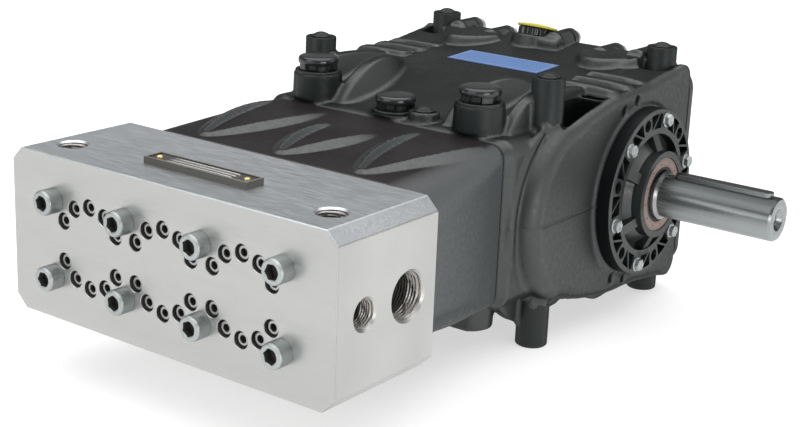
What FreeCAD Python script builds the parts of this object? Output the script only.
import FreeCAD, Part
import math
import os

os.makedirs("parts", exist_ok=True)

Vec = FreeCAD.Vector

# Triplex plunger pump. Sizes in mm.
# Origin on the foot plane, midway between the four foot holes.
# +X along the drive shaft, -Y towards the stainless manifold, +Z up.

# Crankcase feet and centre lines
foot_pitch_x = 221.2
foot_pitch_y = 183.3
axis_height = 108.0          # crankshaft and plungers above the feet
crank_y = 22.0               # crankshaft behind the middle of the feet
plunger_pitch = 70.0

# Lengths along Y
crankcase_front = -151.0
crankcase_rear = 106.0
housing_length = 131.5
manifold_depth = 104.5
gasket_thick = 1.2
rear_cover_thick = 6.0
rear_cover_inset = 2.0       # below the casting's edge

# Manifold block
manifold_width = 295.0
manifold_height = 120.0
manifold_chamfer = 9.5
head_screw_x = 35.0          # half the spacing of neighbouring head screws
head_screw_z = 27.8
head_screw_r = 6.0
head_screw_head_r = 9.0
head_screw_head_h = 12.0
head_screw_socket = 10.0
head_screw_grip = 26.0
set_circle_r = 29.4
set_step = 30.0              # degrees between neighbouring set screws
set_per_side = 5
set_hole_r = 6.0
screw_bevel = 1.2
set_screw_r = 5.5
set_screw_length = 12.0
set_screw_recess = 2.2
set_screw_socket = 5.0
set_screw_socket_h = 4.0
set_screw_bevel = 1.1
port_small_r = 10.5
port_small_mouth_r = 11.3
port_small_depth = 24.0
port_small_y = 28.5          # behind the manifold's front face
port_large_r = 16.6
port_large_mouth_r = 17.4
port_large_depth = 26.0
port_large_y = 74.0
top_port_x = 118.0
top_port_y = 30.0

# Nameplate bar
plate_length = 94.0
plate_width = 17.0
plate_thick = 5.0
plate_rim = 1.4
plate_sink = 0.9
plate_y = 38.0               # behind the manifold's front face
rivet_r = 1.6
rivet_skirt_r = 2.56
rivet_inset = 7.0
rivet_height = 1.5

# Plunger housing
housing_front_w = 131.0      # half widths and half heights of its two ends
housing_front_h = 60.0
housing_front_r = 34.0
seam_w = 113.0
seam_h = 64.6
seam_r = 13.5
v_rib_front = 13.0           # bare strip between the ribs' tips and the block
v_rib_rear = 9.0             # and between their ends and the joint
v_rib_spread = 25.0
v_rib_width = 13.0
v_rib_height = 5.0
v_rib_lean = 0.3             # of the half width, outwards
v_rib_crest = 0.2
housing_swell = 1.7          # outwards at mid length
v_rib_sections = 9
gasket_inset = 0.9

# Crankcase
neck_w = 118.0
neck_length = 7.0
neck_lift = 1.6              # above the joint
ridge_r = 3.5                # bead in front of each bulge
ridge_circle = 82.5
ridge_x = 116.2
shoulder_w = 104.0
shoulder_r = 14.0
deck_break_y = -135.0        # the top starts to climb here
deck_break_h = 66.0
plateau_front_y = -47.0
plateau_front_h = 83.5
plateau_knee_y = 36.0        # nearly level up to here, then rising to the rear
plateau_knee_h = 87.0
plateau_rear_h = 95.5
bulge_w = 133.0
bulge_centre_y = -60.0
bulge_front_r = 77.5
bulge_start_h = 69.5
bulge_knee_y = -17.0
bulge_knee_h = 84.0
bulge_drop = 1.0             # below the middle's top, over the shaft
bulge_rear_h = 91.0
bulge_corner_r = 20.0
bulge_edge_r = 10.0
boss_r = 12.7
boss_top = 214.4
boss_hole_r = 8.6
boss_hole_depth = 16.0
foot_hole_r = 7.0
foot_hole_depth = 24.0
foot_chamfer = 1.2
pocket_wall = 8.0            # left outside the pockets
pocket_floor_h = 57.0
pocket_web_y = -33.0
pocket_web = 3.0
pocket_rib_gap = 1.0         # between the rear pocket and the first rib
bearing_rib_y = 9.5          # the middle one of three
bearing_rib_pitch = 24.5
bearing_rib_r = 7.5
bearing_rib_inner_x = 76.0
bearing_rib_outer_x = 129.0
bearing_rib_h = 88.8
bearing_slot_width = 9.0     # notches between the ribs
bearing_slot_inner_x = 106.0
bearing_slot_wall = 7.0
bearing_slot_h = 76.0
side_tap_r = 3.4
side_tap_circle = 76.0
side_tap_angles = (97.0, 113.5)
side_tap_depth = 14.0

# Arched ribs on top of the crankcase: the humps beside the vents and the fins before the tall bosses
arch_power = 0.65            # a lower power makes the crest rise more steeply
arch_sections = 12
arch_fall = 2.5              # how late a crest drops to the deck
arch_crowding = 1.4          # closer sections at the start
arch_root_h = 56.0           # the ribs' feet, inside the casting
hump_start = 11.0            # behind the joint
hump_peak = 73.0
hump_end = 113.0
hump_low_h = 64.0
hump_high_h = 95.0
hump_front_x = 53.5
hump_rear_x = 65.0
hump_crest = 10.0
hump_spread = 0.5            # each flank's slant, sideways for each mm of height
fin_start = 18.5
fin_peak = 66.0
fin_end = 134.0
fin_low_h = 62.0
fin_high_h = 92.5
fin_x = 98.5
fin_crest = 10.0
fin_spread = 0.5             # on the inner flank; the outer one is upright

# Rear edge: lugs for the cover's bolts, low lobes before them, and fins from the tall bosses
lug_middle = (9.5, 9.5, 105.5)                   # x, radius, top above the centre plane
lug_pairs = ((56.5, 9.0, 99.0), (92.0, 9.0, 102.0))
lug_length = 26.0
lug_flat = 0.35              # of the radius, cut off the barrel's top by the nose
nose_y = 71.0                # front of the middle lug's blunt nose
nose_h = 99.0
gusset_y = 58.0              # front of the outer lugs' slopes
lobe_h = 96.5
lobe_taper = 0.86            # crown against base
lobe_plan = ((-1.9, 0.1), (-1.7, -0.35), (-0.8, -0.62), (0.5, -0.64), (2.0, -0.58), (4.6, -0.1),
             (4.9, 0.45), (3.6, 0.8), (-0.6, 0.8))   # sideways by the lug's radius, back by its depth
lobe_middle = (1.0, 0.2)
leaf_tip = (80.0, 48.0, 88.0)                    # x, y, height above the centre plane
leaf_root = (104.0, 76.0, 98.5)
leaf_half = 2.2
leaf_spread = 0.55

# Vents and plugs
vent_y = -134.5
vent_x = 78.0
vent_pad_r = 19.3
vent_pad_base_r = 19.9
vent_high = 87.5             # pad tops above the centre plane
vent_low = 68.5
vent_ring_r = 18.6
vent_ring_h = 2.4
vent_neck_r = 13.6
vent_neck_h = 3.4
vent_cap_r = 16.0
vent_cap_h = 7.6
vent_cap_round = 2.4
vent_spigot_r = 8.0
vent_spigot_h = 8.0
plug_head_r = 8.4
plug_head_h = 3.6
plug_stem_h = 5.0
tap_boss_x = 29.5
tap_boss_y = -137.0
tap_boss_r = 12.0
tap_boss_h = 74.0
oil_cap_x = -13.0
oil_cap_y = 89.9
oil_cap_r = 16.4
oil_pad_r = 21.0
oil_pad_h = 97.4             # middle of the filler's face above the centre plane
oil_tilt = 14.2              # degrees, towards the rear
oil_cap_h = 7.5
oil_top_h = 2.6
oil_top_edge = 1.0
oil_top_r = 17.8
oil_flutes = 12
oil_flute_r = 3.0
oil_flute_bite = 1.4
oil_cap_gap = 1.2            # free round the cap's disc
label_length = 90.0
label_width = 36.0
label_thick = 0.8
label_y = 17.0

# Bearing covers
cover_seat_x = 135.0
cover_seat_r = 71.5
cover_r = 69.0
cover_front_x = 146.8
cover_ring_r = 48.5
cover_floor_x = 139.0
cover_hub_r = 35.6
cover_dish_r = 29.6          # shallow dish in the closed cover
cover_dish_h = 4.0
cover_hub_x = 156.5
cover_flare_r = 44.0         # hub's cone where it meets the floor
cover_flare_x = 148.0
cover_rib_count = 6
cover_rib_thick = 9.0
cover_rib_bite = 2.0         # into the hub and the ring
cover_rib_lap = 1.0          # into the floor, and below the ring's face
cover_rib_start = 30.0
cover_rib_top_x = 152.5      # ribs' crest at the hub
cover_rim_r = 1.2
cover_screw_circle = 60.0
cover_screw_start = 15.0
cover_screw_r = 3.0
cover_screw_hexagon = 8.8
cover_screw_flange_r = 6.0
cover_screw_flange_h = 1.0
cover_screw_head_h = 4.6
cover_screw_grip = 10.0      # short of the rear columns
cover_hole_circle = 59.5
cover_hole_start = 45.0
cover_hole_r = 4.9
cover_pocket_in = 53.0
cover_pocket_out = 65.0
cover_pocket_depth = 6.5
cover_pocket_half = 8.2      # degrees either side of its middle
cover_web = 1.6              # thin wall that splits each pocket aslant
cover_web_turn = 40.0
seal_r = 30.3
seal_front_x = 155.7
seal_thick = 8.0
seal_lip = 2.5
seal_groove = 0.8

# Drive shaft
shaft_r = 17.5
shaft_end_x = 257.0
shoulder_shaft_r = 20.0
shoulder_end_x = 161.0
shoulder_chamfer = 2.2
shaft_start_x = 96.0
shaft_chamfer = 1.5
running_gap = 0.05
end_gap = 0.6
thread_end_gap = 1.0         # left under a screw's end
centre_hole_r = 5.1
centre_hole_depth = 26.0
centre_mouth_r = 9.0
key_width = 10.0
key_height = 8.0
key_start_x = 168.0
key_end_x = 251.0
key_depth = 5.0

# Rear cover fittings
rear_bolt_r = 4.0
rear_bolt_head_r = 6.5
rear_bolt_head_h = 8.0
rear_bolt_grip = 14.0
rear_bolt_socket = 6.0
rear_side_bolt_z = 45.0
sight_r = 17.0
sight_window_r = 10.5
sight_h = 7.0
drain_r = 11.0
drain_hexagon = 17.6
drain_h = 9.0
rear_fitting_drop = 38.0

fit_gap = 0.3                # between pieces that pass through one another's holes
pad_depth = 24.0             # how far a boss or pad reaches down into the casting

pocket_inner_x = fin_x + fin_crest / 2
pocket_rear_y = bearing_rib_y - bearing_rib_pitch - bearing_rib_r - pocket_rib_gap

manifold_rear = crankcase_front - housing_length
manifold_front = manifold_rear - manifold_depth
manifold_top = axis_height + manifold_height / 2
manifold_side = manifold_width / 2
half_pitch_x = foot_pitch_x / 2
half_pitch_y = foot_pitch_y / 2
rear_face = crankcase_rear + rear_cover_thick
cylinders = (-plunger_pitch, 0.0, plunger_pitch)
sides = (-1, 1)


def rod(radius, length, x, y, z, along):
    """Round bar from a start point, along a direction."""
    return Part.makeCylinder(radius, length, Vec(x, y, z), along)


def taper(r1, r2, length, x, y, z, along):
    return Part.makeCone(r1, r2, length, Vec(x, y, z), along)


def block(x0, x1, y0, y1, z0, z1):
    return Part.makeBox(x1 - x0, y1 - y0, z1 - z0, Vec(x0, y0, z0))


def fuse_all(shapes):
    return shapes[0].multiFuse(shapes[1:]).removeSplitter()


def flip_x(shape):
    return shape.mirror(Vec(0, 0, 0), Vec(1, 0, 0))


def flip_z(shape):
    """The same form under the crank's centre plane."""
    return shape.mirror(Vec(0, 0, axis_height), Vec(0, 0, 1))


def both_sides(shape):
    return [shape, flip_x(shape)]


def hexagon(across_flats, length, x, y, z, along):
    """Hexagonal prism from a start point, along a direction."""
    corner = across_flats / math.sqrt(3)
    points = [Vec(corner * math.cos(math.radians(60 * k)), corner * math.sin(math.radians(60 * k)), 0)
              for k in range(7)]
    prism = Part.Face(Part.makePolygon(points)).extrude(Vec(0, 0, length))
    turn = FreeCAD.Rotation(Vec(0, 0, 1), along)
    prism.Placement = FreeCAD.Placement(Vec(x, y, z), turn)
    return prism


def rounded_section(half_w, half_h, radius, y):
    """Closed wire in the XZ plane: a rectangle with round corners about the centre plane."""
    cx = half_w - radius
    cz = half_h - radius
    edges = []
    for quarter, (sx, sz) in enumerate(((1, 1), (-1, 1), (-1, -1), (1, -1))):
        start = quarter * math.pi / 2
        points = [Vec(sx * cx + radius * math.cos(start + a), y,
                      axis_height + sz * cz + radius * math.sin(start + a))
                  for a in (0.0, math.pi / 4, math.pi / 2)]
        edges.append(Part.Arc(*points).toShape())
    joined = []
    for k, arc in enumerate(edges):
        following = edges[(k + 1) % 4]
        joined.append(arc)
        joined.append(Part.LineSegment(arc.valueAt(arc.LastParameter),
                                       following.valueAt(following.FirstParameter)).toShape())
    return Part.Wire(joined)


def side_profile(points, x0, x1):
    """Solid from (y, height above the centre plane) points, between two x planes."""
    outline = [Vec(x0, y, axis_height + h) for y, h in points]
    return Part.Face(Part.makePolygon(outline + outline[:1])).extrude(Vec(x1 - x0, 0, 0))


def end_profile(points, y0, y1):
    """Solid from (x, height above the centre plane) points, between two y planes."""
    outline = [Vec(x, y0, axis_height + h) for x, h in points]
    return Part.Face(Part.makePolygon(outline + outline[:1])).extrude(Vec(0, y1 - y0, 0))


def ring(outer, inner, length, x, y, z, along):
    return rod(outer, length, x, y, z, along).cut(rod(inner, length, x, y, z, along))


def set_screw_places(cylinder_x):
    """Centres of the set screws round one cylinder, with a gap left and right."""
    places = []
    for half in (0, 180):
        for k in range(set_per_side):
            angle = math.radians(half + set_step * (k + 1))
            places.append((cylinder_x + set_circle_r * math.cos(angle),
                           axis_height + set_circle_r * math.sin(angle)))
    return places


def head_screw_places(row):
    """Centres of one row of head screws: four, a cylinder pitch apart."""
    return [(k * head_screw_x, axis_height + row * head_screw_z) for k in (-3, -1, 1, 3)]


def port_tool(radius, mouth_r, depth, x, y, z, inward):
    """Drilled port with a countersunk mouth; the start point lies on the face."""
    bevel = mouth_r - radius
    return rod(radius, depth, x, y, z, inward).fuse(taper(mouth_r, radius, bevel, x, y, z, inward))


def manifold():
    half_h = manifold_height / 2
    chamfer = manifold_chamfer
    outline = [(-manifold_side + chamfer, half_h), (manifold_side - chamfer, half_h),
               (manifold_side, half_h - chamfer), (manifold_side, chamfer - half_h),
               (manifold_side - chamfer, -half_h), (chamfer - manifold_side, -half_h),
               (-manifold_side, chamfer - half_h), (-manifold_side, half_h - chamfer)]
    body = end_profile(outline, manifold_front, manifold_rear)
    tools = []
    for cylinder_x in cylinders:
        for x, z in set_screw_places(cylinder_x):
            tools.append(rod(set_hole_r, set_screw_recess + set_screw_length,
                             x, manifold_front, z, Vec(0, 1, 0)))
    for row in (-1, 1):
        for x, z in head_screw_places(row):
            tools.append(rod(head_screw_r + fit_gap, head_screw_grip + fit_gap,
                             x, manifold_front, z, Vec(0, 1, 0)))
    for side in sides:
        inward = Vec(-side, 0, 0)
        tools.append(port_tool(port_small_r, port_small_mouth_r, port_small_depth, side * manifold_side,
                               manifold_front + port_small_y, axis_height, inward))
        tools.append(port_tool(port_large_r, port_large_mouth_r, port_large_depth, side * manifold_side,
                               manifold_front + port_large_y, axis_height, inward))
        tools.append(port_tool(port_small_r, port_small_mouth_r, port_small_depth, side * top_port_x,
                               manifold_front + top_port_y, manifold_top, Vec(0, 0, -1)))
    return body.cut(Part.makeCompound(tools))


def head_screw(x, z):
    """Socket head screw, its head on the manifold's front face."""
    inward = Vec(0, 1, 0)
    head_y = manifold_front - head_screw_head_h
    bevel = screw_bevel
    head = rod(head_screw_head_r, head_screw_head_h - bevel, x, head_y + bevel, z, inward)
    head = head.fuse(taper(head_screw_head_r - bevel, head_screw_head_r, bevel, x, head_y, z, inward))
    shank = rod(head_screw_r, head_screw_grip, x, manifold_front, z, inward)
    socket = hexagon(head_screw_socket, head_screw_head_h / 2, x, head_y, z, inward)
    return head.fuse(shank).cut(socket)


def manifold_screws(row):
    return Part.makeCompound([head_screw(x, z) for x, z in head_screw_places(row)])


def set_screw(x, z):
    """Grub screw sunk below the front face, bevelled, with a hexagon socket."""
    inward = Vec(0, 1, 0)
    face_y = manifold_front + set_screw_recess
    bevel = set_screw_bevel
    stem = rod(set_screw_r, set_screw_length - bevel, x, face_y + bevel, z, inward)
    tip = taper(set_screw_r - bevel, set_screw_r, bevel, x, face_y, z, inward)
    return stem.fuse(tip).cut(hexagon(set_screw_socket, set_screw_socket_h, x, face_y, z, inward))


def set_screws(cylinder_x):
    return Part.makeCompound([set_screw(x, z) for x, z in set_screw_places(cylinder_x)])


def nameplate():
    """Bare bar with a raised rim round a sunk field and two rivet holes."""
    mid_y = manifold_front + plate_y
    half_l = plate_length / 2
    half_w = plate_width / 2
    top = manifold_top + plate_thick
    bar = block(-half_l, half_l, mid_y - half_w, mid_y + half_w, manifold_top, top)
    field = block(plate_rim - half_l, half_l - plate_rim, mid_y - half_w + plate_rim,
                  mid_y + half_w - plate_rim, top - plate_sink, top)
    holes = [rod(rivet_r + fit_gap, plate_thick, side * (half_l - rivet_inset), mid_y,
                 manifold_top, Vec(0, 0, 1)) for side in sides]
    return bar.cut(field).cut(Part.makeCompound(holes))


def nameplate_rivet(side):
    """Rivet standing on the block, its domed head on the sunk field."""
    x = side * (plate_length / 2 - rivet_inset)
    y = manifold_front + plate_y
    field_z = manifold_top + plate_thick - plate_sink
    stem = rod(rivet_r, plate_thick - plate_sink, x, y, manifold_top, Vec(0, 0, 1))
    head = taper(rivet_skirt_r, rivet_r, rivet_height, x, y, field_z, Vec(0, 0, 1))
    return stem.fuse(head)


def v_rib(cylinder_x, side):
    """One arm of a horseshoe rib: it leaves the tip wide, runs back and outwards, and fades away."""
    start_y = manifold_rear + v_rib_front
    length = housing_length - v_rib_front - v_rib_rear
    sections = []
    for k in range(v_rib_sections):
        share = k / (v_rib_sections - 1)
        y = start_y + share * length
        swell = math.sin(math.pi * min(1.0, 0.08 + 0.9 * share)) ** 0.6
        x = cylinder_x + side * v_rib_spread * math.sin(math.pi / 2 * (0.03 + 0.97 * share)) ** 0.75
        half = v_rib_width / 2 * (0.35 + 0.65 * swell)
        skin_h = housing_front_h + (seam_h - housing_front_h) * (y - manifold_rear) / housing_length
        low = axis_height + skin_h - v_rib_height / 2
        crest = axis_height + skin_h + v_rib_height * swell
        crest_x = x - side * half * v_rib_lean
        points = [Vec(x - half, y, low), Vec(x + half, y, low), Vec(crest_x + half * v_rib_crest, y, crest),
                  Vec(crest_x - half * v_rib_crest, y, crest)]
        sections.append(Part.makePolygon(points + points[:1]))
    return Part.makeLoft(sections, True, False)


def plunger_housing():
    front = rounded_section(housing_front_w, housing_front_h, housing_front_r, manifold_rear)
    middle = rounded_section((housing_front_w + seam_w) / 2 + housing_swell, (housing_front_h + seam_h) / 2,
                             (housing_front_r + seam_r) / 2 + housing_swell, manifold_rear + housing_length / 2)
    rear = rounded_section(seam_w, seam_h, seam_r, crankcase_front - gasket_thick)
    body = Part.makeLoft([front, middle, rear], True, False)
    ribs = [v_rib(x, side) for x in cylinders for side in sides]
    ribs += [flip_z(rib) for rib in ribs]
    return body.multiFuse(ribs)


def joint_gasket():
    outer = rounded_section(seam_w - gasket_inset, seam_h - gasket_inset, seam_r - gasket_inset,
                            crankcase_front - gasket_thick)
    return Part.Face(outer).extrude(Vec(0, gasket_thick, 0))


def crankcase_neck():
    """Front of the crankcase: starts on the joint and flares out to the bulges."""
    start = rounded_section(seam_w, seam_h, seam_r, crankcase_front)
    end = rounded_section(neck_w, seam_h + neck_lift, seam_r, crankcase_front + neck_length)
    stem = rounded_section(neck_w, seam_h + neck_lift, seam_r, bulge_centre_y)
    return fuse_all([Part.makeLoft([start, end], True, True), Part.makeLoft([end, stem], True, True)])


def crankcase_core():
    """Middle of the crankcase: its top and bottom slope up from the joint to the rear."""
    upper = [(crankcase_front, seam_h), (deck_break_y, deck_break_h), (plateau_front_y, plateau_front_h),
             (plateau_knee_y, plateau_knee_h), (crankcase_rear, plateau_rear_h)]
    lower = [(y, -h) for y, h in reversed(upper)]
    core = side_profile(upper + lower, -shoulder_w, shoulder_w)
    long_edges = [edge for edge in core.Edges
                  if abs(abs(edge.CenterOfMass.x) - shoulder_w) < 0.01
                  and abs(edge.tangentAt(edge.FirstParameter).y) > 0.9]
    return core.makeFillet(shoulder_r, long_edges)


def side_bulge():
    """Both bearing housings in one: a profile with a round front and round rear corners."""
    half_angle = math.asin(bulge_start_h / bulge_front_r)
    start_y = bulge_centre_y - bulge_front_r * math.cos(half_angle)
    corner_y = crankcase_rear - bulge_corner_r
    corner_h = bulge_rear_h - bulge_corner_r
    diagonal = bulge_corner_r * math.sqrt(0.5)

    def at(y, h):
        return Vec(-bulge_w, y, axis_height + h)

    edges = [Part.Arc(at(start_y, -bulge_start_h), at(bulge_centre_y - bulge_front_r, 0),
                      at(start_y, bulge_start_h)).toShape()]
    edges.append(Part.LineSegment(at(start_y, bulge_start_h), at(bulge_knee_y, bulge_knee_h)).toShape())
    second_h = plateau_knee_h - bulge_drop
    edges.append(Part.LineSegment(at(bulge_knee_y, bulge_knee_h), at(plateau_knee_y, second_h)).toShape())
    edges.append(Part.LineSegment(at(plateau_knee_y, second_h), at(corner_y, bulge_rear_h)).toShape())
    edges.append(Part.Arc(at(corner_y, bulge_rear_h), at(corner_y + diagonal, corner_h + diagonal),
                          at(crankcase_rear, corner_h)).toShape())
    edges.append(Part.LineSegment(at(crankcase_rear, corner_h), at(crankcase_rear, -corner_h)).toShape())
    edges.append(Part.Arc(at(crankcase_rear, -corner_h), at(corner_y + diagonal, -corner_h - diagonal),
                          at(corner_y, -bulge_rear_h)).toShape())
    edges.append(Part.LineSegment(at(corner_y, -bulge_rear_h), at(plateau_knee_y, -second_h)).toShape())
    edges.append(Part.LineSegment(at(plateau_knee_y, -second_h), at(bulge_knee_y, -bulge_knee_h)).toShape())
    edges.append(Part.LineSegment(at(bulge_knee_y, -bulge_knee_h), at(start_y, -bulge_start_h)).toShape())
    slab = Part.Face(Part.Wire(edges)).extrude(Vec(2 * bulge_w, 0, 0))
    rim = [edge for edge in slab.Edges
           if abs(abs(edge.CenterOfMass.x) - bulge_w) < 0.01
           and edge.CenterOfMass.y < corner_y]
    return slab.makeFillet(bulge_edge_r, rim)


def front_ridge():
    """Bead round the front of a bulge, concentric with it, from the boss to below the middle."""
    ring_body = Part.makeTorus(ridge_circle, ridge_r, Vec(ridge_x, bulge_centre_y, axis_height),
                               Vec(1, 0, 0))
    keep = block(ridge_x - 2 * ridge_r, ridge_x + 2 * ridge_r, crankcase_front + ridge_r,
                 bulge_centre_y - ridge_circle / 2, axis_height - seam_h / 2, axis_height + seam_h)
    return ring_body.common(keep)


def plateau_height(y):
    """Top of the casting above the centre plane, behind the first climb."""
    line = [(deck_break_y, deck_break_h), (plateau_front_y, plateau_front_h),
            (plateau_knee_y, plateau_knee_h), (crankcase_rear, plateau_rear_h)]
    for (start, low), (stop, high) in zip(line, line[1:]):
        if y <= stop:
            return low + (high - low) * (y - start) / (stop - start)
    return plateau_rear_h


def arch_crest(along, start, peak, end, low, high):
    """Crest height: a steep rise to the peak, then a soft fall to the deck."""
    rise = max(0.0, min(1.0, (along - start) / (peak - start)))
    fall = max(0.0, (along - peak) / (end - peak))
    deck = plateau_height(crankcase_front + end)
    crest = low + (high - low) * math.sin(math.pi / 2 * rise) ** arch_power
    return crest - (high - deck) * fall ** arch_fall


def arch_rib(crest_of, start, end, front_x, rear_x, crest_w, inner_spread, outer_spread):
    """Rib along Y with a flat crest and slanting flanks, lofted through sections across it."""
    sections = []
    for k in range(arch_sections):
        share = (k / (arch_sections - 1)) ** arch_crowding
        along = start + (end - start) * share
        y = crankcase_front + along
        x = front_x + (rear_x - front_x) * share ** 2
        crest = crest_of(along)
        base = arch_root_h
        half = crest_w / 2
        inner = half + inner_spread * (crest - base)
        outer = half + outer_spread * (crest - base)
        points = [Vec(x - inner, y, axis_height + base), Vec(x + outer, y, axis_height + base),
                  Vec(x + half, y, axis_height + crest), Vec(x - half, y, axis_height + crest)]
        sections.append(Part.makePolygon(points + points[:1]))
    return Part.makeLoft(sections, True, True)


def hump_rib():
    def crest_of(along):
        return arch_crest(along, hump_start, hump_peak, hump_end, hump_low_h, hump_high_h)

    return arch_rib(crest_of, hump_start, hump_end, hump_front_x, hump_rear_x, hump_crest, hump_spread,
                    hump_spread)


def fin_rib():
    """From the joint up to the tall front boss, and on as the pockets' inner rim."""
    def crest_of(along):
        return arch_crest(along, fin_start, fin_peak, fin_end, fin_low_h, fin_high_h)

    return arch_rib(crest_of, fin_start, fin_end, fin_x, fin_x, fin_crest, fin_spread, 0.0)


def leaf_rib():
    """Thin fin from a tall rear boss, falling towards the middle of the casting."""
    sections = []
    for x, y, crest in (leaf_tip, leaf_root):
        base = plateau_front_h
        foot = leaf_half + leaf_spread * (crest - base)
        across = Vec(leaf_root[1] - leaf_tip[1], leaf_tip[0] - leaf_root[0], 0).normalize()
        middle = Vec(x, y, axis_height)
        points = [middle - across * foot + Vec(0, 0, base), middle + across * foot + Vec(0, 0, base),
                  middle + across * leaf_half + Vec(0, 0, crest), middle - across * leaf_half + Vec(0, 0, crest)]
        sections.append(Part.makePolygon(points + points[:1]))
    return Part.makeLoft(sections, True, True)


def rear_lobe():
    """Low broad swelling before an outer lug, level on top."""
    x, radius, top = lug_pairs[0]
    depth = crankcase_rear - nose_y
    centre_x = x + radius * lobe_middle[0]
    centre_y = nose_y + depth * lobe_middle[1]

    def wire(scale, h):
        outline = [Vec(centre_x + scale * (x + radius * across - centre_x),
                       centre_y + scale * (nose_y + depth * back - centre_y), axis_height + h)
                   for across, back in lobe_plan]
        return Part.makePolygon(outline + outline[:1])

    return Part.makeLoft([wire(1.0, plateau_front_h), wire(lobe_taper, lobe_h)], True, True)


def rear_lug(x, radius, top, front_y, front_h):
    """Bolt boss lying along Y on the rear edge, with a nose or slope that climbs up to it."""
    z = axis_height + top - radius
    start = crankcase_rear - lug_length
    barrel = rod(radius, lug_length, x, start, z, Vec(0, 1, 0))
    web = block(x - radius, x + radius, start, crankcase_rear, axis_height + plateau_front_h, z)
    slope = side_profile([(front_y, plateau_front_h), (front_y, front_h), (start, top - lug_flat * radius),
                          (start, plateau_front_h)], x - radius, x + radius)
    return fuse_all([barrel, web, slope])


def outer_lugs():
    return [rear_lug(x, radius, top, gusset_y, plateau_front_h + fit_gap) for x, radius, top in lug_pairs]


def bearing_rib_places():
    return [bearing_rib_y + k * bearing_rib_pitch for k in (-1, 0, 1)]


def bearing_ribs():
    """Three low round-topped ribs over each bearing, with round outer ends."""
    ribs = []
    z = axis_height + bearing_rib_h - bearing_rib_r
    outer = bearing_rib_outer_x - bearing_rib_r
    for y in bearing_rib_places():
        bar = rod(bearing_rib_r, outer - bearing_rib_inner_x, bearing_rib_inner_x, y, z, Vec(1, 0, 0))
        ribs.append(bar.fuse(Part.makeSphere(bearing_rib_r, Vec(outer, y, z))))
    return ribs


def bearing_slots():
    """Notches between neighbouring ribs, behind the casting's outer wall."""
    places = bearing_rib_places()
    half = bearing_slot_width / 2
    slots = []
    for front, rear in zip(places, places[1:]):
        middle = (front + rear) / 2
        slots.append(block(bearing_slot_inner_x, bulge_w - bearing_slot_wall, middle - half, middle + half,
                           axis_height + bearing_slot_h, axis_height + plateau_rear_h))
    return slots


def filler_axis():
    """Direction of the filler's face, leaning to the rear."""
    tilt = math.radians(oil_tilt)
    return Vec(0, math.sin(tilt), math.cos(tilt))


def filler_rod(radius, start, length):
    """Round bar on the filler's axis, its start counted from the filler's face."""
    axis = filler_axis()
    base = Vec(oil_cap_x, oil_cap_y, axis_height + oil_pad_h) + axis * start
    return Part.makeCylinder(radius, length, base, axis)


def corner_boss(sx, sy):
    """Column through the crankcase: a threaded foot below and a plugged hole on top."""
    x = sx * half_pitch_x
    y = sy * half_pitch_y
    up = Vec(0, 0, 1)
    foot = taper(boss_r - foot_chamfer, boss_r, foot_chamfer, x, y, 0.0, up)
    column = foot.fuse(rod(boss_r, boss_top - foot_chamfer, x, y, foot_chamfer, up))
    holes = [rod(boss_hole_r, boss_hole_depth, x, y, boss_top - boss_hole_depth, up),
             rod(foot_hole_r, foot_hole_depth, x, y, 0.0, up)]
    if sy > 0:
        holes += [rod(rear_bolt_r + fit_gap, rear_bolt_grip, x, crankcase_rear,
                      axis_height + up_down * rear_side_bolt_z, Vec(0, -1, 0)) for up_down in sides]
    return column.cut(Part.makeCompound(holes))


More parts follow.
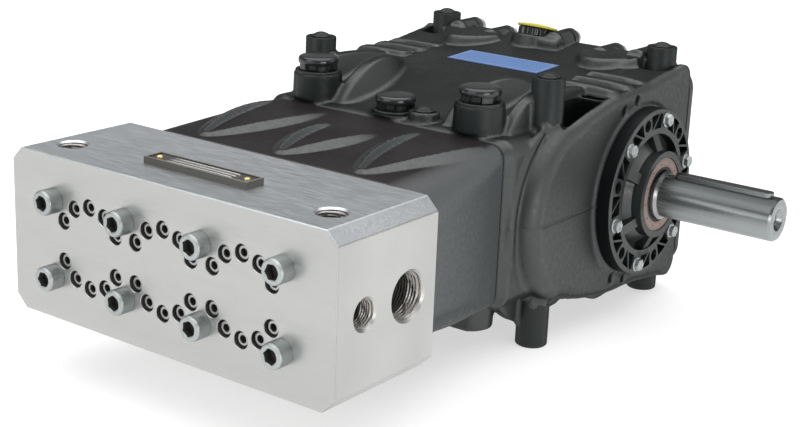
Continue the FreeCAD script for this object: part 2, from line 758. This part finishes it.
def crankcase():
    up = Vec(0, 0, 1)
    solids = [crankcase_neck(), crankcase_core(), side_bulge()]
    body = fuse_all(solids)
    pockets = []
    for start, stop in ((-half_pitch_y, pocket_web_y), (pocket_web_y + pocket_web, pocket_rear_y)):
        pocket = block(pocket_inner_x, bulge_w - pocket_wall, start, stop, axis_height + pocket_floor_h,
                       axis_height + plateau_rear_h)
        pockets += both_sides(pocket) + both_sides(flip_z(pocket))
    for slot in bearing_slots():
        pockets += both_sides(slot) + both_sides(flip_z(slot))

    ribs = [hump_rib(), fin_rib(), leaf_rib(), rear_lobe(), front_ridge()] + outer_lugs() + bearing_ribs()
    middle_lug = rear_lug(*lug_middle, nose_y, nose_h)
    top = [middle_lug]
    for rib in ribs:
        top += both_sides(rib)
    bottom = [flip_z(middle_lug)]
    for rib in [fin_rib()] + bearing_ribs() + outer_lugs():
        bottom += both_sides(flip_z(rib))

    bosses = []
    for x, pad_h in ((-vent_x, vent_high), (0.0, vent_low), (vent_x, vent_high)):
        for flip in (1, -1):
            if flip < 0 and x == 0.0:
                continue
            start = axis_height + flip * (seam_h - pad_depth)
            height = pad_h - seam_h + pad_depth
            bosses.append(taper(vent_pad_base_r, vent_pad_r, height, x, vent_y, start,
                                Vec(0, 0, flip)))
    tap_start = axis_height + seam_h - pad_depth
    bosses.append(rod(tap_boss_r, tap_boss_h - seam_h + pad_depth, tap_boss_x, tap_boss_y, tap_start, up))
    bosses.append(filler_rod(oil_pad_r, -pad_depth, pad_depth))
    body = body.multiFuse(top + bottom + bosses).removeSplitter().cut(Part.makeCompound(pockets))
    seats = [rod(cover_seat_r, cover_seat_x, 0, crank_y, axis_height, Vec(side, 0, 0)) for side in sides]
    body = body.multiFuse(seats).removeSplitter()

    tools = []
    for sx in sides:
        for sy in sides:
            x = sx * half_pitch_x
            y = sy * half_pitch_y
            tools.append(rod(boss_r, boss_top, x, y, 0.0, up))
    for x, pad_h in ((-vent_x, vent_high), (0.0, vent_low), (vent_x, vent_high)):
        tools.append(rod(vent_spigot_r + fit_gap, vent_spigot_h + fit_gap, x, vent_y,
                         axis_height + pad_h - vent_spigot_h - fit_gap, up))
        tools.append(rod(vent_pad_r, vent_cap_h, x, vent_y, axis_height + pad_h, up))
    tools.append(rod(boss_hole_r, boss_hole_depth / 2, tap_boss_x, tap_boss_y,
                     axis_height + tap_boss_h - boss_hole_depth / 2, up))
    tools.append(rod(shoulder_shaft_r + running_gap, cover_seat_x - shaft_start_x + end_gap,
                     shaft_start_x - end_gap, crank_y, axis_height, Vec(1, 0, 0)))
    for angle in side_tap_angles:
        for up_down in sides:
            turn = math.radians(up_down * angle)
            y = crank_y + side_tap_circle * math.cos(turn)
            z = axis_height + side_tap_circle * math.sin(turn)
            for side in sides:
                tools.append(rod(side_tap_r, side_tap_depth, side * cover_seat_x, y, z,
                                 Vec(-side, 0, 0)))
    for side in sides:
        for y, z in circle_places(cover_screw_circle, cover_screw_start):
            tools.append(rod(cover_screw_r + fit_gap, cover_screw_grip, side * cover_seat_x, y, z,
                             Vec(-side, 0, 0)))
    for x, z in rear_bolt_places():
        tools.append(rod(rear_bolt_r + fit_gap, rear_bolt_grip, x, crankcase_rear, z, Vec(0, -1, 0)))
    rear_cut = block(-2 * bulge_w, 2 * bulge_w, crankcase_rear, crankcase_rear + lug_length,
                     -boss_top, 2 * boss_top)
    tools.append(filler_rod(oil_top_r + oil_cap_gap, 0.0, pad_depth))
    front_cut = block(-2 * bulge_w, 2 * bulge_w, crankcase_front - vent_pad_r, crankcase_front,
                      -boss_top, 2 * boss_top)
    tools += [front_cut, rear_cut]
    return body.cut(Part.makeCompound(tools))


def circle_places(radius, start):
    """Six centres round the crank axis, as (y, z)."""
    places = []
    for k in range(6):
        angle = math.radians(start + 60 * k)
        places.append((crank_y + radius * math.cos(angle), axis_height + radius * math.sin(angle)))
    return places


def lug_places():
    """Every lug's x, radius and height of its bolt above or below the centre plane."""
    lugs = [lug_middle]
    for side in sides:
        lugs += [(side * x, radius, top) for x, radius, top in lug_pairs]
    return [(x, radius, up_down * (top - radius)) for x, radius, top in lugs for up_down in sides]


def rear_bolt_places():
    """Bolt centres on the rear cover: in the lugs above and below, and in the rear columns."""
    places = [(x, axis_height + h) for x, radius, h in lug_places()]
    for side in sides:
        for up_down in sides:
            places.append((side * half_pitch_x, axis_height + up_down * rear_side_bolt_z))
    return places


def rear_cover():
    plate = Part.Face(rounded_section(bulge_w, bulge_rear_h - rear_cover_inset, bulge_corner_r,
                                      crankcase_rear))
    plate = plate.extrude(Vec(0, rear_cover_thick, 0))
    ears = []
    for x, radius, h in lug_places():
        z = axis_height + h
        low = axis_height + math.copysign(bulge_rear_h - bulge_corner_r, h)
        ears.append(rod(radius, rear_cover_thick, x, crankcase_rear, z, Vec(0, 1, 0)))
        ears.append(block(x - radius, x + radius, crankcase_rear, rear_face, min(low, z), max(low, z)))
    plate = plate.multiFuse(ears).removeSplitter()
    holes = [rod(rear_bolt_r + fit_gap, rear_cover_thick, x, crankcase_rear, z, Vec(0, 1, 0))
             for x, z in rear_bolt_places()]
    return plate.cut(Part.makeCompound(holes))


def rear_cover_bolts():
    bolts = []
    for x, z in rear_bolt_places():
        head = rod(rear_bolt_head_r, rear_bolt_head_h, x, rear_face, z, Vec(0, 1, 0))
        shank = rod(rear_bolt_r, rear_cover_thick + rear_bolt_grip - thread_end_gap, x, rear_face, z, Vec(0, -1, 0))
        socket = hexagon(rear_bolt_socket, rear_bolt_head_h / 2, x, rear_face + rear_bolt_head_h, z,
                         Vec(0, -1, 0))
        bolts.append(head.fuse(shank).cut(socket))
    return Part.makeCompound(bolts)


def sight_glass():
    y = rear_face
    z = axis_height - rear_fitting_drop / 4
    body = rod(sight_r, sight_h, 0, y, z, Vec(0, 1, 0))
    return body.cut(rod(sight_window_r, sight_h / 3, 0, y + sight_h * 2 / 3, z, Vec(0, 1, 0)))


def drain_plug():
    z = axis_height - rear_fitting_drop - sight_r
    collar = rod(drain_r, drain_h / 3, 0, rear_face, z, Vec(0, 1, 0))
    return collar.fuse(hexagon(drain_hexagon, drain_h, 0, rear_face, z, Vec(0, 1, 0)))


def vent_ring(x, pad_h):
    z = axis_height + pad_h
    return ring(vent_ring_r, vent_neck_r + fit_gap, vent_ring_h, x, vent_y, z, Vec(0, 0, 1))


def vent_cap(x, pad_h):
    """Turned vent cap: spigot, narrow neck and a mushroom head with a round edge."""
    z = axis_height + pad_h
    head_z = vent_ring_h + vent_neck_h
    top_z = head_z + vent_cap_h
    cut = vent_cap_round * (1 - math.sqrt(0.5))
    profile = [Vec(0, 0, -vent_spigot_h), Vec(vent_spigot_r, 0, -vent_spigot_h), Vec(vent_spigot_r, 0, 0),
               Vec(vent_neck_r, 0, 0), Vec(vent_neck_r, 0, head_z), Vec(vent_cap_r, 0, head_z),
               Vec(vent_cap_r, 0, top_z - vent_cap_round),
               Vec(vent_cap_r - cut, 0, top_z - cut),
               Vec(vent_cap_r - vent_cap_round, 0, top_z), Vec(0, 0, top_z)]
    body = Part.Face(Part.makePolygon(profile + profile[:1])).revolve(Vec(0, 0, 0), Vec(0, 0, 1), 360)
    body.translate(Vec(x, vent_y, z))
    return body


def dome_plug(x, y, seat_z):
    """Plastic plug pressed into a boss: short stem under a domed head."""
    stem = rod(plug_head_r - fit_gap, plug_stem_h, x, y, seat_z - plug_stem_h, Vec(0, 0, 1))
    dome_r = (plug_head_r ** 2 + plug_head_h ** 2) / (2 * plug_head_h)
    ball = Part.makeSphere(dome_r, Vec(x, y, seat_z + plug_head_h - dome_r))
    cap = ball.common(rod(plug_head_r, plug_head_h, x, y, seat_z, Vec(0, 0, 1)))
    return stem.fuse(cap)


def oil_cap_body():
    """Filler cap: a fluted black body, leaning with the filler's face."""
    body = filler_rod(oil_cap_r, 0.0, oil_cap_h)
    flutes = []
    for k in range(oil_flutes):
        flute = rod(oil_flute_r, oil_cap_h, oil_cap_r + oil_flute_r - oil_flute_bite, 0, 0, Vec(0, 0, 1))
        flute.rotate(Vec(0, 0, 0), Vec(0, 0, 1), 360 * k / oil_flutes)
        flutes.append(flute)
    cutter = Part.makeCompound(flutes)
    start = Vec(oil_cap_x, oil_cap_y, axis_height + oil_pad_h)
    cutter.Placement = FreeCAD.Placement(start, FreeCAD.Rotation(Vec(0, 0, 1), filler_axis()))
    return body.cut(cutter)


def oil_cap_top():
    axis = filler_axis()
    edge = Vec(oil_cap_x, oil_cap_y, axis_height + oil_pad_h) + axis * (oil_cap_h + oil_top_h - oil_top_edge)
    disc = filler_rod(oil_top_r, oil_cap_h, oil_top_h - oil_top_edge)
    return disc.fuse(Part.makeCone(oil_top_r, oil_top_r - oil_top_h, oil_top_edge, edge, axis))


def label_plate():
    """Thin plate lying on the sloping plateau."""
    front = label_y - label_width / 2
    rear = label_y + label_width / 2
    lift = label_thick
    return side_profile([(front, plateau_height(front)), (rear, plateau_height(rear)),
                         (rear, plateau_height(rear) + lift), (front, plateau_height(front) + lift)],
                        -label_length / 2, label_length / 2)


def cover_sector(r_in, r_out, middle, half, x0, x1):
    """Ring sector round the crank axis, for the pockets."""
    start = math.radians(middle - half)
    stop = math.radians(middle + half)

    def at(radius, angle):
        return Vec(x0, crank_y + radius * math.cos(angle), axis_height + radius * math.sin(angle))

    mid = (start + stop) / 2
    edges = [Part.Arc(at(r_out, start), at(r_out, mid), at(r_out, stop)).toShape(),
             Part.LineSegment(at(r_out, stop), at(r_in, stop)).toShape(),
             Part.Arc(at(r_in, stop), at(r_in, mid), at(r_in, start)).toShape(),
             Part.LineSegment(at(r_in, start), at(r_out, start)).toShape()]
    return Part.Face(Part.Wire(edges)).extrude(Vec(x1 - x0, 0, 0))


def bearing_cover(open_hub):
    """Ribbed cover on the right side: bolted ring, dished floor, hub and radial ribs."""
    along = Vec(1, 0, 0)
    body = rod(cover_r, cover_front_x - cover_seat_x, cover_seat_x, crank_y, axis_height, along)
    rim = [edge for edge in body.Edges if abs(edge.CenterOfMass.x - cover_front_x) < 0.01]
    body = body.makeFillet(cover_rim_r, rim)
    body = body.cut(rod(cover_ring_r, cover_front_x - cover_floor_x, cover_floor_x, crank_y, axis_height,
                        along))
    hub = rod(cover_hub_r, cover_hub_x - cover_floor_x, cover_floor_x, crank_y, axis_height, along)
    hub = hub.fuse(taper(cover_flare_r, cover_hub_r, cover_flare_x - cover_floor_x, cover_floor_x,
                         crank_y, axis_height, along))
    ribs = []
    for k in range(cover_rib_count):
        angle = 360.0 / cover_rib_count * k + cover_rib_start
        half = cover_rib_thick / 2
        inner = cover_hub_r - cover_rib_bite
        outer = cover_ring_r + cover_rib_bite
        low_x = cover_floor_x - cover_rib_lap
        top_x = cover_front_x - cover_rib_lap
        outline = [Vec(low_x, -half, inner), Vec(low_x, -half, outer), Vec(top_x, -half, outer),
                   Vec(top_x, -half, cover_ring_r),
                   Vec(cover_rib_top_x, -half, inner)]
        rib = Part.Face(Part.makePolygon(outline + outline[:1])).extrude(Vec(0, cover_rib_thick, 0))
        rib.rotate(Vec(0, 0, 0), Vec(1, 0, 0), angle - 90.0)
        rib.translate(Vec(0, crank_y, axis_height))
        ribs.append(rib)
    body = body.multiFuse([hub] + ribs).removeSplitter()
    tools = []
    for k in range(2 * cover_rib_count):
        middle = (cover_hole_start - cover_screw_start) * k
        pocket = cover_sector(cover_pocket_in, cover_pocket_out, middle, cover_pocket_half,
                              cover_front_x - cover_pocket_depth, cover_front_x)
        span = cover_pocket_out - cover_pocket_in
        web = Part.makeBox(cover_pocket_depth, 2 * span, cover_web,
                           Vec(cover_front_x - cover_pocket_depth, -span, -cover_web / 2))
        web.rotate(Vec(0, 0, 0), Vec(1, 0, 0), middle + (-1) ** k * cover_web_turn)
        turn = math.radians(middle)
        web.translate(Vec(0, crank_y + cover_hole_circle * math.cos(turn),
                          axis_height + cover_hole_circle * math.sin(turn)))
        tools.append(pocket.cut(web))
    depth = cover_front_x - cover_seat_x
    for y, z in circle_places(cover_hole_circle, cover_hole_start):
        tools.append(rod(cover_hole_r, depth, cover_seat_x, y, z, along))
    for y, z in circle_places(cover_screw_circle, cover_screw_start):
        tools.append(rod(cover_screw_r + fit_gap, depth, cover_seat_x, y, z, along))
    if open_hub:
        tools.append(rod(seal_r, cover_hub_x - seal_front_x + seal_thick, seal_front_x - seal_thick,
                         crank_y, axis_height, along))
        tools.append(rod(shoulder_shaft_r + fit_gap, cover_hub_x - cover_seat_x, cover_seat_x,
                         crank_y, axis_height, along))
    else:
        tools.append(rod(cover_dish_r, cover_dish_h, cover_hub_x - cover_dish_h, crank_y, axis_height, along))
    return body.cut(Part.makeCompound(tools))


def cover_screws():
    """Six hexagon screws, their heads on the right cover's ring."""
    along = Vec(1, 0, 0)
    screws = []
    for y, z in circle_places(cover_screw_circle, cover_screw_start):
        head = hexagon(cover_screw_hexagon, cover_screw_head_h, cover_front_x, y, z, along)
        head = head.fuse(rod(cover_screw_flange_r, cover_screw_flange_h, cover_front_x, y, z, along))
        grip = cover_front_x - cover_seat_x + cover_screw_grip - thread_end_gap
        shank = rod(cover_screw_r, grip, cover_front_x, y, z, Vec(-1, 0, 0))
        screws.append(head.fuse(shank))
    return Part.makeCompound(screws)


def shaft_seal():
    start = seal_front_x - seal_thick
    along = Vec(1, 0, 0)
    body = ring(seal_r, shoulder_shaft_r + running_gap, seal_thick, start, crank_y, axis_height, along)
    groove = ring(seal_r - seal_lip, shoulder_shaft_r + seal_lip, seal_groove, seal_front_x - seal_groove,
                  crank_y, axis_height, along)
    return body.cut(groove)


def key_slot(width, low, high):
    """Round-ended bar lying on the shaft, from one end of the keyway to the other."""
    half = width / 2
    x0 = key_start_x + key_width / 2
    x1 = key_end_x - key_width / 2
    base = axis_height + low
    up = Vec(0, 0, 1)
    bar = block(x0, x1, crank_y - half, crank_y + half, base, axis_height + high)
    ends = [rod(half, high - low, x, crank_y, base, up) for x in (x0, x1)]
    return bar.multiFuse(ends).removeSplitter()


def drive_shaft():
    along = Vec(1, 0, 0)
    profile = [(shaft_start_x, 0.0), (shaft_start_x, shoulder_shaft_r),
               (shoulder_end_x - shoulder_chamfer, shoulder_shaft_r),
               (shoulder_end_x, shoulder_shaft_r - shoulder_chamfer), (shoulder_end_x, shaft_r),
               (shaft_end_x - shaft_chamfer, shaft_r), (shaft_end_x, shaft_r - shaft_chamfer),
               (shaft_end_x, 0.0)]
    outline = [Vec(x, 0, r) for x, r in profile]
    body = Part.Face(Part.makePolygon(outline + outline[:1])).revolve(Vec(0, 0, 0), along, 360)
    body.translate(Vec(0, crank_y, axis_height))
    hole = rod(centre_hole_r, centre_hole_depth, shaft_end_x, crank_y, axis_height, Vec(-1, 0, 0))
    mouth = taper(centre_mouth_r, centre_hole_r, centre_mouth_r - centre_hole_r, shaft_end_x, crank_y,
                  axis_height, Vec(-1, 0, 0))
    return body.cut(Part.makeCompound([hole.fuse(mouth), key_slot(key_width, shaft_r - key_depth,
                                                                  shaft_r + key_height)]))


def shaft_key():
    return key_slot(key_width, shaft_r - key_depth, shaft_r - key_depth + key_height)


def write(name, shape):
    shape.exportStep(os.path.join("parts", name + ".step"))
    print(name, "solids", len(shape.Solids), "valid", shape.isValid(), "cm3", round(shape.Volume / 1000, 1))


vents = (("left", -vent_x, vent_high), ("middle", 0.0, vent_low), ("right", vent_x, vent_high))
write("manifold", manifold())
write("manifold_screws_upper", manifold_screws(1))
write("manifold_screws_lower", manifold_screws(-1))
for place, cylinder_x in zip(("left", "middle", "right"), cylinders):
    write("set_screws_" + place, set_screws(cylinder_x))
write("nameplate", nameplate())
write("nameplate_rivet_left", nameplate_rivet(-1))
write("nameplate_rivet_right", nameplate_rivet(1))
write("plunger_housing", plunger_housing())
write("joint_gasket", joint_gasket())
write("crankcase", crankcase())
write("rear_cover", rear_cover())
write("rear_cover_bolts", rear_cover_bolts())
write("sight_glass", sight_glass())
write("drain_plug", drain_plug())
for place, x, pad_h in vents:
    write("vent_ring_" + place, vent_ring(x, pad_h))
    write("vent_cap_" + place, vent_cap(x, pad_h))
for sy, end in ((-1, "front"), (1, "rear")):
    for sx, place in ((-1, "left"), (1, "right")):
        write("corner_boss_" + end + "_" + place, corner_boss(sx, sy))
        write("boss_plug_" + end + "_" + place, dome_plug(sx * half_pitch_x, sy * half_pitch_y, boss_top))
write("tap_boss_plug", dome_plug(tap_boss_x, tap_boss_y, axis_height + tap_boss_h))
write("oil_cap_body", oil_cap_body())
write("oil_cap_top", oil_cap_top())
write("label_plate", label_plate())
right_cover = bearing_cover(True)
left_cover = flip_x(bearing_cover(False))
write("bearing_cover_right", right_cover)
write("bearing_cover_left", left_cover)
right_screws = cover_screws()
write("cover_screws_right", right_screws)
write("cover_screws_left", flip_x(right_screws))
write("shaft_seal", shaft_seal())
write("drive_shaft", drive_shaft())
write("shaft_key", shaft_key())
